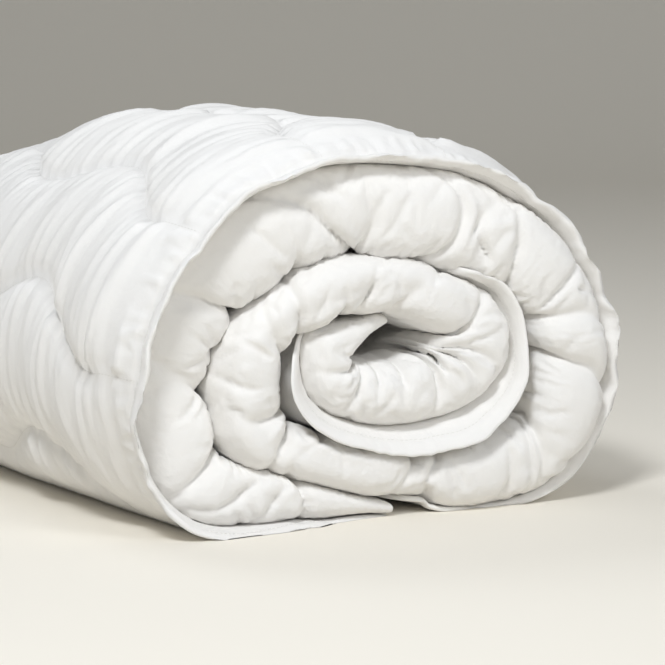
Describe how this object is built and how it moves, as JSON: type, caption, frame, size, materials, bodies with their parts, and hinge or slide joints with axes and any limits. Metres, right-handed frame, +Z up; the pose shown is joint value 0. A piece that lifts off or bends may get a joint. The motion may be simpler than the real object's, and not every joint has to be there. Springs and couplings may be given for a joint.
{
  "type": "rolled duvet",
  "caption": "Wool-filled duvet in a white cotton cover with wavy quilting seams, folded in thirds and rolled up, lying on its side.",
  "frame": {"origin": "middle of the footprint, on the surface that the roll lies on", "axes": "+Z up, +Y along the roll from its open end that shows the winding to its far end, +X to the right seen from the open end"},
  "size_m": [0.4722, 0.7232, 0.335],
  "materials": {
    "cotton_cover": "fine white cotton percale, matt with a faint sheen"
  },
  "bodies": {
    "root": {"duvet": "cotton_cover"}
  },
  "joints": []
}
